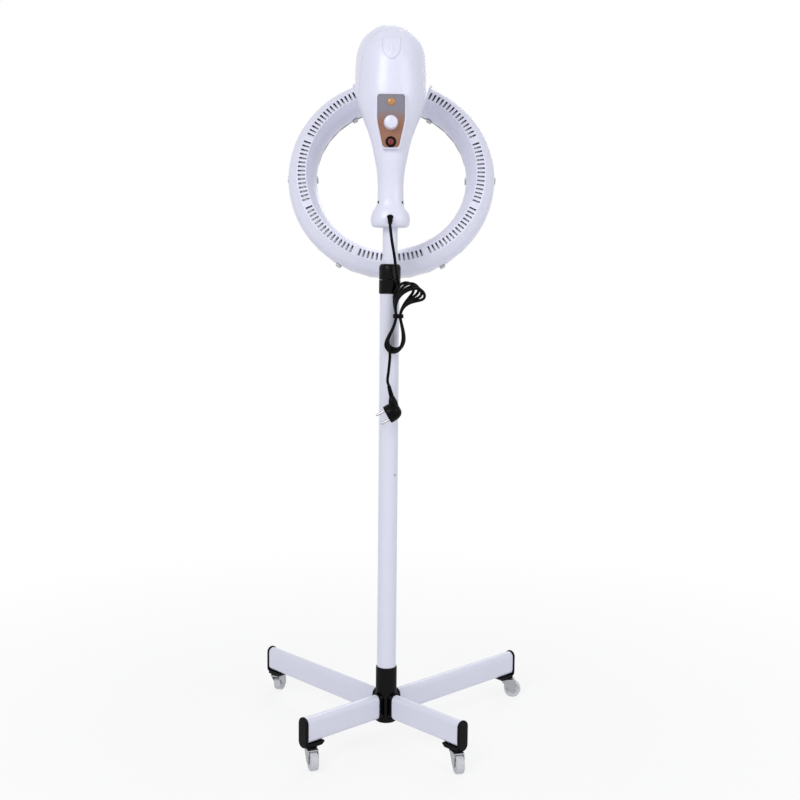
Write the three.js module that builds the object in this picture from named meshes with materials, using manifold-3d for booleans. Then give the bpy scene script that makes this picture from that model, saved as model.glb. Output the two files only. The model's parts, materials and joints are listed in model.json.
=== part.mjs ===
// Hair color processor: a slotted heater ring that circles in front of a motor head,
// on a telescopic pole with a wheeled cross base.
// Millimetres, +Z up. The operator stands on the -Y side, the client sits on the +Y side.
// Everything is modelled about the pole's axis; the last lines move the part onto its own frame.
import * as THREE from 'three';
import { mergeGeometries, mergeVertices } from 'three/addons/utils/BufferGeometryUtils.js';
import Module from 'manifold-3d';

const wasm = await Module();
wasm.setup();
const rad = THREE.MathUtils.degToRad;

// Driving dimensions
const GAP = 0.3;
const POLE = { lowerR: 19, upperR: 14.4, wall: 1.6, lowerBottom: 50, lowerTop: 914, upperBottom: 482, upperTop: 1074 };
const COLLAR = { r: 21, bottom: 895, seam: 922, top: 952 };
const BASE = { turn: -1.5, legH: 50, legW: 22, legMidZ: 74, wall: 2, hubR: 21, hubTop: 153, hubBottom: 41, socket: 28 };
const CAP = { depth: 7, grow: 3, bottom: 41, top: 101, bossLength: 46, bossHalf: 11 };
const LEGS = [
  { name: 'short_left', angle: -135, reach: 215, heading: -70 },
  { name: 'short_right', angle: -45, reach: 215, heading: -75 },
  { name: 'long_left', angle: 135, reach: 381, heading: 70 },
  { name: 'long_right', angle: 45, reach: 381, heading: 0 },
];
const CASTER = { wheelR: 18, wheelW: 15, trail: 17, inset: 20, axleR: 3, forkTop: 40, plate: 3, cheek: 2.2, stemR: 4 };
const HEAD = { neckFront: 28, domeR: 71.5, domeZ: 1345, wall: 3, splitY: 4, power: 2.2, sides: 20, sections: 18 };
const ORBIT = { y: 152.7, z: 1318, pitch: 42, motorR: 26, gearR: 33, shaftR: 6, hubR: 38 };
const RING = { y: 155, z: 1128.3, tilt: 17, wall: 2.8, segments: 64, slotR: 181.5, slotL: 15, slotW: 4 };
const PANEL = { top: 1267.7, knee: 1220, bottom: 1167.4, halfTop: 27.2, halfBottom: 16, faceY: -42, rimY: -44 };
const KNOB = { z: 1214.5, r: 13.4, depth: 15 };
const BUTTON = { z: 1179.3, bezelR: 10, r: 5.75, travel: 3 };
const CORD = { d: 5.6, sides: 8, loops: 4, loopSteps: 24, hankSides: 6 };

const paint = (name, color, roughness, metalness = 0) =>
  new THREE.MeshStandardMaterial({ name, color, roughness, metalness });
const MATERIAL = {
  shell: paint('shell_plastic', 0xe2e1ee, 0.4),
  black: paint('black_plastic', 0x1b1b1d, 0.5),
  tube: paint('painted_tube', 0xe6e6ea, 0.35),
  steel: paint('steel', 0xb8babd, 0.3, 1),
  nylon: paint('nylon', 0xd9dadd, 0.5),
  panel: paint('panel', 0x8c7f88, 0.35),
  red: paint('red_plastic', 0xb01c1c, 0.35),
  amber: paint('amber_lens', 0xd98a2b, 0.2),
  mirror: paint('reflector', 0xd5d7da, 0.12, 1),
  quartz: paint('quartz', 0xe8d8cc, 0.1),
  ceramic: paint('ceramic', 0xece8df, 0.6),
  rubber: paint('cord_rubber', 0x17171a, 0.6),
};

// Solids and geometries
function toSolid(geometry) {
  const bare = new THREE.BufferGeometry();
  bare.setAttribute('position', geometry.getAttribute('position').clone());
  if (geometry.index) bare.setIndex(geometry.index.clone());
  const merged = mergeVertices(bare, 1e-4);
  const index = merged.index.array;
  const p = merged.attributes.position.array;
  const tris = [];
  let volume = 0;
  for (let i = 0; i < index.length; i += 3) {
    const [a, b, c] = [index[i], index[i + 1], index[i + 2]];
    if (a === b || b === c || c === a) continue;
    tris.push(a, b, c);
    const [x, y, z] = [a * 3, b * 3, c * 3];
    volume += p[x] * (p[y + 1] * p[z + 2] - p[y + 2] * p[z + 1])
      - p[x + 1] * (p[y] * p[z + 2] - p[y + 2] * p[z])
      + p[x + 2] * (p[y] * p[z + 1] - p[y + 1] * p[z]);
  }
  if (volume < 0) tris.reverse();
  return new wasm.Manifold(new wasm.Mesh({
    numProp: 3,
    vertProperties: new Float32Array(p),
    triVerts: new Uint32Array(tris),
  }));
}

function toGeometry(solid) {
  const mesh = solid.getMesh();
  const geometry = new THREE.BufferGeometry();
  geometry.setAttribute('position', new THREE.BufferAttribute(new Float32Array(mesh.vertProperties), 3));
  geometry.setIndex(new THREE.BufferAttribute(new Uint32Array(mesh.triVerts), 1));
  return geometry;
}

const parts = new THREE.Group();
function add(name, shape, material, matrix) {
  const solid = shape.getMesh ? shape : toSolid(shape);
  const geometry = toGeometry(solid.simplify(0.01));
  if (matrix) geometry.applyMatrix4(matrix);
  const mesh = new THREE.Mesh(geometry, material);
  mesh.name = name;
  parts.add(mesh);
}

const points = (list) => list.map(([x, y]) => new THREE.Vector2(x, y));
// Turns a profile of [radius, height] about Z. A closed profile gives a ring.
const turn = (profile, segments) => new THREE.LatheGeometry(points(profile), segments).rotateX(Math.PI / 2);
const turnSolid = (profile, segments) => toSolid(turn(profile, segments));
const closed = (profile) => [...profile, profile[0]];
const pipe = (outer, inner, bottom, top, segments) =>
  turnSolid(closed([[inner, bottom], [outer, bottom], [outer, top], [inner, top]]), segments);
// A bore of so many sides that a round pin of radius r turns in it
const boreR = (r, sides) => (r + 0.05) / Math.cos(Math.PI / sides);
const rod = (r, bottom, top, segments) => turnSolid([[0, bottom], [r, bottom], [r, top], [0, top]], segments);
function box(x0, x1, y0, y1, z0, z1) {
  const geometry = new THREE.BoxGeometry(x1 - x0, y1 - y0, z1 - z0);
  return toSolid(geometry.translate((x0 + x1) / 2, (y0 + y1) / 2, (z0 + z1) / 2));
}
const placed = (solid, matrix) => solid.transform(matrix.elements);
const move = (x, y, z) => new THREE.Matrix4().makeTranslation(x, y, z);
const spinZ = (degrees) => new THREE.Matrix4().makeRotationZ(rad(degrees));
const tipX = (degrees) => new THREE.Matrix4().makeRotationX(rad(degrees));

// An outline in X and Z becomes a prism between two Y values.
function prismY(shape, y0, y1) {
  const geometry = new THREE.ExtrudeGeometry(shape, { depth: y1 - y0, bevelEnabled: false, curveSegments: 3 });
  return toSolid(geometry.rotateX(Math.PI / 2).translate(0, y1, 0));
}

function roundedOutline(corners, radius) {
  const shape = new THREE.Shape();
  const count = corners.length;
  corners.forEach(([x, y], i) => {
    const here = new THREE.Vector2(x, y);
    const before = new THREE.Vector2(...corners[(i + count - 1) % count]);
    const after = new THREE.Vector2(...corners[(i + 1) % count]);
    const a = here.clone().add(before.sub(here).setLength(radius));
    const b = here.clone().add(after.sub(here).setLength(radius));
    if (i === 0) shape.moveTo(a.x, a.y);
    else shape.lineTo(a.x, a.y);
    shape.quadraticCurveTo(x, y, b.x, b.y);
  });
  shape.closePath();
  return shape;
}

// A flat-oval outline: two half rounds joined by straight sides.
function ovalOutline(width, height) {
  const r = width / 2;
  const straight = height / 2 - r;
  const shape = new THREE.Shape();
  shape.absarc(0, straight, r, 0, Math.PI, false);
  shape.absarc(0, -straight, r, Math.PI, 2 * Math.PI, false);
  shape.closePath();
  return shape;
}

// A flat-oval bar along +X, standing on its narrow side.
function ovalBar(width, height, x0, x1, hole) {
  const shape = ovalOutline(width, height);
  if (hole) shape.holes.push(new THREE.Path(ovalOutline(width - 2 * hole, height - 2 * hole).getPoints(4)));
  const geometry = new THREE.ExtrudeGeometry(shape, { depth: x1 - x0, bevelEnabled: false, curveSegments: 4 });
  return toSolid(geometry.rotateX(Math.PI / 2).rotateZ(Math.PI / 2).translate(x0, 0, 0));
}

// Rings of points, one after another, become a closed skin with a flat end at each side.
function skin(rings) {
  const count = rings[0].length;
  const flat = rings.flat();
  const middle = (ring) => ring.reduce((sum, p) => sum.add(p), new THREE.Vector3()).divideScalar(count);
  const position = [...flat, middle(rings[0]), middle(rings[rings.length - 1])].flatMap((p) => p.toArray());
  const index = [];
  for (let i = 0; i + 1 < rings.length; i += 1) {
    for (let j = 0; j < count; j += 1) {
      const [a, b] = [i * count + j, i * count + (j + 1) % count];
      index.push(a, b, b + count, a, b + count, a + count);
    }
  }
  const last = (rings.length - 1) * count;
  for (let j = 0; j < count; j += 1) {
    const next = (j + 1) % count;
    index.push(flat.length, next, j);
    index.push(flat.length + 1, last + j, last + next);
  }
  const geometry = new THREE.BufferGeometry();
  geometry.setAttribute('position', new THREE.Float32BufferAttribute(position, 3));
  geometry.setIndex(index);
  return geometry;
}

// Base: hub, legs, caps and casters
const legMatrix = (leg) => spinZ(leg.angle + BASE.turn).multiply(move(0, 0, BASE.legMidZ));
let hub = rod(BASE.hubR, BASE.hubBottom, BASE.hubTop, 24);
LEGS.forEach((leg) => {
  hub = hub.add(placed(ovalBar(BASE.legW + 4, BASE.legH + 6, 0, BASE.socket, 0), legMatrix(leg)));
});
hub = hub.subtract(rod(POLE.lowerR + GAP, POLE.lowerBottom - GAP, BASE.hubTop + 1, 24));
add('base_hub', hub, MATERIAL.black);

function casterFork() {
  const { wheelW, trail, forkTop, plate, cheek, stemR, axleR, wheelR } = CASTER;
  const half = wheelW / 2 + 0.8;
  const top = forkTop - plate;
  let fork = rod(13, top, forkTop, 12).add(rod(stemR, top, forkTop + 6, 10));
  fork = fork.add(box(-10, trail + 5, -half - cheek, half + cheek, top, forkTop));
  const side = new THREE.Shape(points([[-9, top + 1], [trail - 6, wheelR - 3], [trail - 3, wheelR - 6], [trail + 3, wheelR - 6],
    [trail + 6, wheelR - 3], [trail + 5, top + 1]]));
  fork = fork.add(prismY(side, -half - cheek, -half)).add(prismY(side, half, half + cheek));
  const bore = new THREE.LatheGeometry(points([[0, -20], [axleR + 0.05, -20], [axleR + 0.05, 20], [0, 20]]), 12);
  return fork.subtract(toSolid(bore.translate(trail, 0, wheelR)));
}

function casterWheel() {
  const { wheelR, wheelW, axleR, trail } = CASTER;
  const segments = 14;
  const r = wheelR / Math.cos(Math.PI / segments);
  const h = wheelW / 2;
  const bore = boreR(axleR, segments);
  const profile = [[bore, -h], [8, -h], [11, -h + 3], [14, -h], [r, -h], [r, h], [14, h], [11, h - 3], [8, h], [bore, h]];
  const wheel = new THREE.LatheGeometry(points(closed(profile)), segments).rotateY(Math.PI / segments);
  return toSolid(wheel.translate(trail, 0, wheelR));
}

function casterAxle() {
  const { axleR, wheelW, cheek, trail, wheelR } = CASTER;
  const end = wheelW / 2 + 0.8 + cheek + GAP;
  const profile = [[0, -end], [axleR, -end], [axleR, end], [0, end]];
  return toSolid(new THREE.LatheGeometry(points(profile), 12).translate(trail, 0, wheelR));
}

LEGS.forEach((leg) => {
  const { legH, legW, wall, legMidZ, socket } = BASE;
  const end = leg.reach - CAP.depth;
  add(`leg_${leg.name}`, ovalBar(legW, legH, socket + GAP, end, wall), MATERIAL.tube, legMatrix(leg));
  const under = -legH / 2 - GAP;
  const floor = CAP.bottom - legMidZ;
  const lip = CAP.depth / 3;
  const capH = CAP.top - CAP.bottom;
  let cap = ovalBar(legW + CAP.grow, capH, end + GAP, leg.reach - lip, 0);
  cap = cap.add(ovalBar(legW, capH - CAP.grow, leg.reach - 2 * lip, leg.reach, 0));
  cap = cap.translate([0, 0, floor + capH / 2]);
  const back = leg.reach - CAP.bossLength;
  const boss = new THREE.Shape(points([[back, under], [back, under - 3], [back + 6, floor], [end + 2, floor], [end + 2, under]]));
  cap = cap.add(prismY(boss, -CAP.bossHalf, CAP.bossHalf));
  cap = cap.subtract(rod(boreR(CASTER.stemR, 10), floor - 1, floor + 6, 10).translate([leg.reach - CASTER.inset, 0, 0]));
  add(`cap_${leg.name}`, cap, MATERIAL.black, legMatrix(leg));
  const heading = spinZ(leg.heading);
  const swivel = new THREE.Vector3(leg.reach - CASTER.inset, 0, 0).applyMatrix4(spinZ(leg.angle + BASE.turn));
  const place = move(swivel.x, swivel.y, 0).multiply(heading);
  add(`fork_${leg.name}`, casterFork(), MATERIAL.steel, place);
  add(`wheel_${leg.name}`, casterWheel(), MATERIAL.nylon, place);
  add(`axle_${leg.name}`, casterAxle(), MATERIAL.steel, place);
});

// Telescopic pole and its clamp
const { lowerR, upperR, wall: poleWall, lowerTop, upperTop } = POLE;
add('lower_pole', pipe(lowerR, lowerR - poleWall, POLE.lowerBottom, lowerTop, 24), MATERIAL.tube);
add('upper_pole', pipe(upperR, upperR - poleWall, POLE.upperBottom, upperTop, 24), MATERIAL.tube);
const bushR = lowerR - poleWall - 0.1;
add('guide_bush', turnSolid([[0, 478], [bushR, 478], [bushR, 481.7], [upperR - poleWall - GAP, 481.7],
  [upperR - poleWall - GAP, 500], [0, 500]], 24), MATERIAL.nylon);
add('clamp_collet', turnSolid(closed([[upperR + 0.1, 862], [bushR - GAP, 862], [bushR - GAP, lowerTop + GAP],
  [lowerR - GAP, lowerTop + GAP], [lowerR - GAP, COLLAR.seam - 1], [upperR + 0.1, COLLAR.seam - 1]]), 24), MATERIAL.nylon);
add('clamp_base', turnSolid(closed([[lowerR + GAP, COLLAR.bottom], [COLLAR.r - 0.6, COLLAR.bottom],
  [COLLAR.r, COLLAR.bottom + 1], [COLLAR.r, COLLAR.seam - 1.2], [COLLAR.r - 0.8, COLLAR.seam - GAP],
  [lowerR + GAP, COLLAR.seam - GAP]]), 20), MATERIAL.black);
const nut = turnSolid(closed([[upperR + 0.6, COLLAR.seam], [COLLAR.r - 0.8, COLLAR.seam], [COLLAR.r, COLLAR.seam + 1],
  [COLLAR.r, COLLAR.top - 5], [COLLAR.r - 3.5, COLLAR.top], [upperR + 0.6, COLLAR.top]]), 20);
add('clamp_nut', nut, MATERIAL.black);

// Head housing: stations of [height, half width, rear Y, front Y] from the bulb up to the crown
const STATIONS = [
  [1022, 30, -30, 30], [1025, 35.5, -35.5, 35], [1037, 37.8, -38, 37.5], [1052, 34, -34, 33], [1067, 26.2, -27.5, 26],
  [1098, 24.8, -26.5, 25.5], [1125, 26.4, -29.5, 26], [1147, 30.2, -33.5, 27], [1185, 38.5, -38, 32],
  [1215, 48.8, -40, 58], [1245, 60.2, -40.5, 92], [1275, 68.8, -40.5, 130], [1300, 71.5, -39, 162],
  [1340, 71.3, -34, 190], [1365, 68, -24, 184], [1385, 58.6, -8, 160], [1400, 43, 13, 128], [1410, 25, 33, 101], [1417, 7, 52, 76],
];
const sideLine = new THREE.CatmullRomCurve3(STATIONS.map(([z, w, rear]) => new THREE.Vector3(w, rear, z)));
const frontLine = new THREE.CatmullRomCurve3(STATIONS.map(([z, , , front]) => new THREE.Vector3(0, front, z)));

function headSection(t, inset) {
  const a = sideLine.getPoint(t);
  const b = frontLine.getPoint(t);
  const halfWidth = Math.max(a.x - inset, 1.5);
  const middle = (a.y + b.y) / 2;
  const halfDepth = Math.max((b.y - a.y) / 2 - inset, 1.5);
  const crown = Math.max(a.z - HEAD.domeZ, 0) / HEAD.domeR;
  const ring = [];
  for (let i = 0; i < HEAD.sides; i += 1) {
    const angle = (2 * Math.PI * (i + 0.5)) / HEAD.sides;
    const [c, s] = [Math.cos(angle), Math.sin(angle)];
    const bend = (v) => Math.sign(v) * Math.abs(v) ** (2 / HEAD.power);
    ring.push(new THREE.Vector3(halfWidth * bend(c), middle + halfDepth * bend(s), a.z - inset * crown));
  }
  return ring;
}

function headBody(inset, first = 0) {
  const rings = [];
  for (let i = first; i <= HEAD.sections; i += 1) rings.push(headSection(i / HEAD.sections, inset));
  return toSolid(skin(rings));
}

const orbitMatrix = move(0, ORBIT.y, ORBIT.z).multiply(tipX(-90 - ORBIT.pitch));
const onOrbit = (solid) => placed(solid, orbitMatrix);
const ahead = (from) => onOrbit(box(-200, 200, -300, 300, from, 400));
// The space that the ring needs: in front of the sloping face, and in front of the neck below it.
const ringSpace = (inset) => ahead(-inset).intersect(box(-300, 300, HEAD.neckFront - inset, 500, 900, 1600));

function panelOutline(inset) {
  const [top, low] = [PANEL.halfTop - inset, PANEL.halfBottom - inset * 0.8];
  const corners = [[top, PANEL.knee], [top, PANEL.top - inset], [-top, PANEL.top - inset], [-top, PANEL.knee],
    [-low, PANEL.bottom + inset], [low, PANEL.bottom + inset]];
  return roundedOutline(corners, 6);
}

function shieldOutline(grow) {
  const [w, top, waist, tip] = [18.7 + grow, 1380 + grow, 1356, 1336 - grow];
  const shape = new THREE.Shape();
  shape.moveTo(-w + 2, top);
  shape.quadraticCurveTo(0, top + 1.5, w - 2, top);
  shape.lineTo(w, top - 4);
  shape.lineTo(w - 0.6, waist);
  shape.quadraticCurveTo(w - 2, tip + 7, 0, tip);
  shape.quadraticCurveTo(-w + 2, tip + 7, -w + 0.6, waist);
  shape.lineTo(-w, top - 4);
  shape.closePath();
  return shape;
}

const GLAND_TILT = 55;
const glandTip = new THREE.Vector3(0, -51, 1028);
const glandMatrix = move(0, glandTip.y, glandTip.z).multiply(tipX(-GLAND_TILT));
const gland = placed(turnSolid([[0, 0], [3.9, 0], [5.2, 17], [6.8, 17.3], [6.8, 19.5], [4.9, 19.8], [4.9, 24], [0, 24]], 16),
  glandMatrix);
const glandBore = placed(rod(7.6, 10, 28, 16), glandMatrix);

let shell = headBody(0).subtract(ringSpace(0));
const cavity = headBody(HEAD.wall, 2).subtract(ringSpace(HEAD.wall));
shell = shell.subtract(cavity).subtract(rod(upperR + 1, 1000, 1040, 28));
shell = shell.subtract(prismY(panelOutline(-1.6 - GAP), -60, -22)).subtract(glandBore);
shell = shell.subtract(onOrbit(rod(ORBIT.shaftR + 7 + GAP, -10, 10, 24)));
const plugFloor = headBody(1.6);
shell = shell.subtract(prismY(shieldOutline(GAP), -60, 30).subtract(plugFloor));
add('rear_housing', shell.intersect(box(-100, 100, -100, HEAD.splitY, 1000, 1450)), MATERIAL.shell);
add('front_housing', shell.intersect(box(-100, 100, HEAD.splitY + GAP, 300, 1000, 1450)), MATERIAL.shell);
let plug = prismY(shieldOutline(0), -60, 30).intersect(headBody(-1.2));
const ridge = prismY(roundedOutline([[3.5, 1376], [-3.5, 1376], [-1.5, 1345], [1.5, 1345]], 1), -60, 30);
plug = plug.add(ridge.intersect(headBody(-2.6))).subtract(headBody(1.2));
add('top_plug', plug, MATERIAL.shell);
add('cord_gland', gland, MATERIAL.rubber);

// The pole's top turns in this closed sleeve, which carries the head.
add('neck_sleeve', turnSolid([[upperR + 0.1, 1041], [20.5, 1041], [20.5, 1080], [0, 1080], [0, upperTop + GAP],
  [upperR + 0.1, upperTop + GAP], [upperR + 0.1, 1041]], 28), MATERIAL.nylon);

// Control panel with its rim, timer, switch and lamp
const faceY = PANEL.faceY;
const rim = prismY(panelOutline(-1.6), PANEL.rimY, -30).subtract(prismY(panelOutline(1.4), -60, -20));
add('panel_rim', rim, MATERIAL.shell);
const lampZ = 1253;
const across = (profile, z, segments) => toSolid(new THREE.LatheGeometry(points(profile), segments).translate(0, 0, z));
let plate = prismY(panelOutline(1.4 + GAP), faceY, faceY + 3);
plate = plate.subtract(across([[0, -60], [4, -60], [4, -20], [0, -20]], KNOB.z, 14));
plate = plate.subtract(across([[0, -60], [8.3, -60], [8.3, -20], [0, -20]], BUTTON.z, 20));
plate = plate.subtract(across([[0, -60], [6.3, -60], [6.3, -20], [0, -20]], lampZ, 16));
add('control_panel', plate, MATERIAL.panel);
const knobFront = faceY - GAP - KNOB.depth;
add('timer_knob', across([[0, knobFront], [KNOB.r - 3, knobFront], [KNOB.r - 1.6, knobFront + 1.5], [KNOB.r - 0.8, faceY - 3],
  [KNOB.r, faceY - 2.5], [KNOB.r, faceY - GAP], [3, faceY - GAP], [3, faceY + 8], [0, faceY + 8]], KNOB.z, 20)
  .add(box(-1.6, 1.6, knobFront - 1.2, knobFront + 3, KNOB.z, KNOB.z + KNOB.r - 3)), MATERIAL.shell);
const timerFace = faceY + 3 + GAP;
let timer = box(-19, 19, timerFace, timerFace + 24, KNOB.z - 18, KNOB.z + 18);
timer = timer.subtract(across([[0, -60], [boreR(3, 20), -60], [boreR(3, 20), faceY + 9], [0, faceY + 9]], KNOB.z, 20));
add('timer_body', timer, MATERIAL.black);
const buttonTop = faceY - 4.6;
add('switch_body', across([[BUTTON.r + 0.1, faceY - 3], [BUTTON.bezelR - 1, faceY - 3], [BUTTON.bezelR, faceY - 2],
  [BUTTON.bezelR, faceY - GAP], [8, faceY - GAP], [8, faceY + 22], [0, faceY + 22], [0, faceY + 14],
  [BUTTON.r + 0.1, faceY + 14], [BUTTON.r + 0.1, faceY - 3]], BUTTON.z, 20), MATERIAL.black);
add('power_button', across([[0, buttonTop], [BUTTON.r - 1, buttonTop], [BUTTON.r, buttonTop + 1], [BUTTON.r, faceY + 10],
  [0, faceY + 10]], BUTTON.z, 20), MATERIAL.red);
add('indicator_lens', across([[0, faceY - 3.5], [4, faceY - 3], [7, faceY - 1.6], [7.6, faceY - GAP], [6, faceY - GAP],
  [6, faceY + 9], [0, faceY + 9]], lampZ, 16), MATERIAL.amber);

// Gear motor, shaft, bearing and orbit hub, on an axis square to the head's sloping face
const shaftEnd = 8;
let motor = rod(ORBIT.motorR, -64, -23, 16).add(rod(ORBIT.gearR, -24, -HEAD.wall - GAP, 16));
motor = motor.subtract(rod(boreR(ORBIT.shaftR, 24), -16, 0, 24));
add('gear_motor', onOrbit(motor), MATERIAL.steel);
add('drive_shaft', onOrbit(rod(ORBIT.shaftR, -15.5, shaftEnd, 24)), MATERIAL.steel);
add('spindle_bearing', onOrbit(pipe(ORBIT.shaftR + 7, ORBIT.shaftR + 0.06, -HEAD.wall, -0.2, 24)), MATERIAL.nylon);
add('orbit_hub', onOrbit(turnSolid(closed([[ORBIT.shaftR + 0.02, 0.8], [ORBIT.hubR - 1, 0.8], [ORBIT.hubR, 2],
  [ORBIT.hubR, 5.5], [ORBIT.hubR - 2.5, shaftEnd], [ORBIT.shaftR + 0.02, shaftEnd]]), 24)), MATERIAL.shell);

// Ring: profile of [radius, distance behind the widest plane], from the outer lip over the crown to the inner lip
const SECTION = [[208.5, -14], [211, 2], [206.5, 22], [191, 39], [172, 39], [159, 22], [153, 2], [155.5, -14]];
const ringMatrix = move(0, RING.y, RING.z).multiply(tipX(90 - RING.tilt));
const onRing = (solid) => placed(solid, ringMatrix);

// Moves an open profile sideways by the same distance everywhere; a positive distance goes inwards.
function offsetProfile(profile, distance) {
  return profile.map(([r, d], i) => {
    const a = profile[Math.max(i - 1, 0)];
    const b = profile[Math.min(i + 1, profile.length - 1)];
    const [dr, dd] = [b[0] - a[0], b[1] - a[1]];
    const length = Math.hypot(dr, dd);
    return [r - (distance * dd) / length, d + (distance * dr) / length];
  });
}

const INSIDE = [[205.7, -14], [205.7, 17], [189.6, 36.2], [173.4, 36.2], [158.3, 17], [158.3, -14]];
let ringShell = turnSolid(closed([...SECTION, ...INSIDE.slice().reverse()]), RING.segments);
const slots = [];
const facet = 360 / RING.segments;
for (let group = -3; group <= 3; group += 1) {
  for (let i = -7; i <= 7; i += 1) {
    const fromBottom = group * 45 + i * (facet / 2);
    const slot = new THREE.BoxGeometry(RING.slotL, RING.slotW, 16).translate(RING.slotR, 0, 39);
    slots.push(slot.rotateZ(rad(fromBottom - 90)));
  }
}
ringShell = ringShell.subtract(toSolid(mergeGeometries(slots)));
add('ring_rear_shell', ringShell, MATERIAL.shell, ringMatrix);

const REFLECTOR = [[200, -9], [202, 6], [192, 25], [171, 25], [162, 6], [164, -9]];
const reflector = turnSolid(closed([...REFLECTOR, ...offsetProfile(REFLECTOR, 1.2).reverse()]), 24);
add('ring_reflector', reflector, MATERIAL.mirror, ringMatrix);

const TUBES = { r: 182, d: 8, radius: 5, count: 3, half: 53, steps: 14, sides: 6 };
for (let n = 0; n < TUBES.count; n += 1) {
  const middleAngle = -90 + (n * 360) / TUBES.count;
  const path = [];
  for (let i = 0; i <= TUBES.steps; i += 1) {
    const angle = rad(middleAngle - TUBES.half + (2 * TUBES.half * i) / TUBES.steps);
    path.push([Math.cos(angle), Math.sin(angle)]);
  }
  const rings = path.map(([c, s]) => {
    const ring = [];
    for (let j = 0; j < TUBES.sides; j += 1) {
      const around = (2 * Math.PI * j) / TUBES.sides;
      const r = TUBES.r + TUBES.radius * Math.cos(around);
      ring.push(new THREE.Vector3(r * c, r * s, TUBES.d + TUBES.radius * Math.sin(around)));
    }
    return ring;
  });
  add(`heater_tube_${n + 1}`, skin(rings), MATERIAL.quartz, ringMatrix);
  const holder = box(TUBES.r - 7, TUBES.r + 7, -21.5, 21.5, 1, 15).add(box(TUBES.r - 6, TUBES.r + 6, -9, 9, 14, 23));
  const holderMatrix = ringMatrix.clone().multiply(spinZ(middleAngle + 180 / TUBES.count));
  add(`heater_holder_${n + 1}`, holder, MATERIAL.ceramic, holderMatrix);
}

// Guard: two flat rings on the ring's front edges, joined by bars, with six hooks that show round the edges
const GUARD = { back: -14.4, front: -18.4, outer: 208.5, inner: 155.5, band: 8, windows: 12, bar: 5 };
let guard = pipe(GUARD.outer, GUARD.inner, GUARD.front, GUARD.back, 32);
const windows = [];
for (let i = 0; i < GUARD.windows; i += 1) {
  const step = rad(360 / GUARD.windows);
  const angle = i * step;
  const [ri, ro] = [GUARD.inner + GUARD.band, GUARD.outer - GUARD.band];
  const corner = (r, side) => {
    const half = step / 2 - GUARD.bar / 2 / r;
    return new THREE.Vector2(r * Math.cos(angle + side * half), r * Math.sin(angle + side * half));
  };
  const shape = new THREE.Shape([corner(ri, -1), corner(ro, -1), corner(ro, 1), corner(ri, 1)]);
  const geometry = new THREE.ExtrudeGeometry(shape, { depth: 12, bevelEnabled: false });
  windows.push(geometry.translate(0, 0, GUARD.front - 4));
}
guard = guard.subtract(toSolid(mergeGeometries(windows)));
[-150, -90, -30, 30, 90, 150].forEach((fromBottom) => {
  const hook = (r0, r1) => placed(box(r0, r1, -5, 5, GUARD.front, -2), spinZ(fromBottom - 90));
  guard = guard.add(hook(211.6, 213.4)).add(hook(150.6, 152.4));
  const foot = (r0, r1) => placed(box(r0, r1, -5, 5, GUARD.front, GUARD.back), spinZ(fromBottom - 90));
  guard = guard.add(foot(204, 213.4)).add(foot(150.6, 160));
});
add('guard_grille', guard, MATERIAL.steel, ringMatrix);

// Saddle: an arc that hugs the ring's crown, with a boss up to the orbit hub
const envelope = offsetProfile(SECTION, -GAP);
const saddleBack = offsetProfile(SECTION.slice(1, 7), -6);
const saddleFront = offsetProfile(SECTION.slice(1, 7), -GAP);
let saddle = turnSolid(closed([...saddleBack, ...saddleFront.slice().reverse()]), RING.segments);
const wedge = new THREE.Shape(points([[0, 0], [-100, 240], [100, 240]]));
saddle = saddle.intersect(toSolid(new THREE.ExtrudeGeometry(wedge, { depth: 120, bevelEnabled: false }).translate(0, 0, -20)));
saddle = onRing(saddle);
const ringFill = onRing(turnSolid(closed([...envelope, [170, -14]]), RING.segments));
saddle = saddle.add(onOrbit(rod(24, shaftEnd + GAP, 40, 28)).subtract(ringFill));
saddle = saddle.subtract(ahead(-50).subtract(ahead(shaftEnd + GAP)).intersect(onOrbit(rod(ORBIT.hubR + 1, -50, 60, 28))));
const pieces = saddle.decompose().sort((a, b) => b.volume() - a.volume());
add('ring_saddle', pieces[0], MATERIAL.shell);

// Cord: lead-in, bound hank, tie, tail and plug, all behind the pole
const HANK = { x: 17, y: -39, z: 853, waist: 3.7, lobe: 33.2, start: 0.198, pitch: 7, end: 0.25 };
// The hank's folds in the cord's order, upper and lower in turn: [reach from the tie, lean to the right in degrees]
const FOLDS = [[62, 14], [66, 6], [66, 17], [70, 9], [68, 27], [62, 5], [66, 35], [68, 10], [66, 43], [70, 8]];
function hankPoint(turns) {
  const halves = 2 * turns + HANK.start;
  const [reach, lean] = FOLDS[Math.round(halves)];
  const angle = Math.PI * (halves + 0.5);
  const [c, s] = [Math.cos(angle), Math.sin(angle)];
  const u = c * (HANK.waist + (HANK.lobe - HANK.waist) * Math.abs(s) ** 1.5);
  const v = reach * s;
  const tilt = rad(lean * s * s * (3 - 2 * Math.abs(s)));
  const layer = (turns - CORD.loops / 2) * HANK.pitch;
  const x = HANK.x + u * Math.cos(tilt) + v * Math.sin(tilt);
  return new THREE.Vector3(x, HANK.y - layer, HANK.z + v * Math.cos(tilt) - u * Math.sin(tilt));
}

// Sweeps a round section along points, keeping the section's turn steady.
function sweep(path, radius, sides) {
  const tangents = path.map((p, i) => {
    const a = path[Math.max(i - 1, 0)];
    const b = path[Math.min(i + 1, path.length - 1)];
    return b.clone().sub(a).normalize();
  });
  let normal = new THREE.Vector3(0, 1, 0);
  return skin(path.map((p, i) => {
    normal = normal.clone().sub(tangents[i].clone().multiplyScalar(normal.dot(tangents[i]))).normalize();
    const side = tangents[i].clone().cross(normal);
    const ring = [];
    for (let j = 0; j < sides; j += 1) {
      const angle = (2 * Math.PI * j) / sides;
      ring.push(p.clone().addScaledVector(normal, radius * Math.cos(angle)).addScaledVector(side, radius * Math.sin(angle)));
    }
    return ring;
  }));
}

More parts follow.
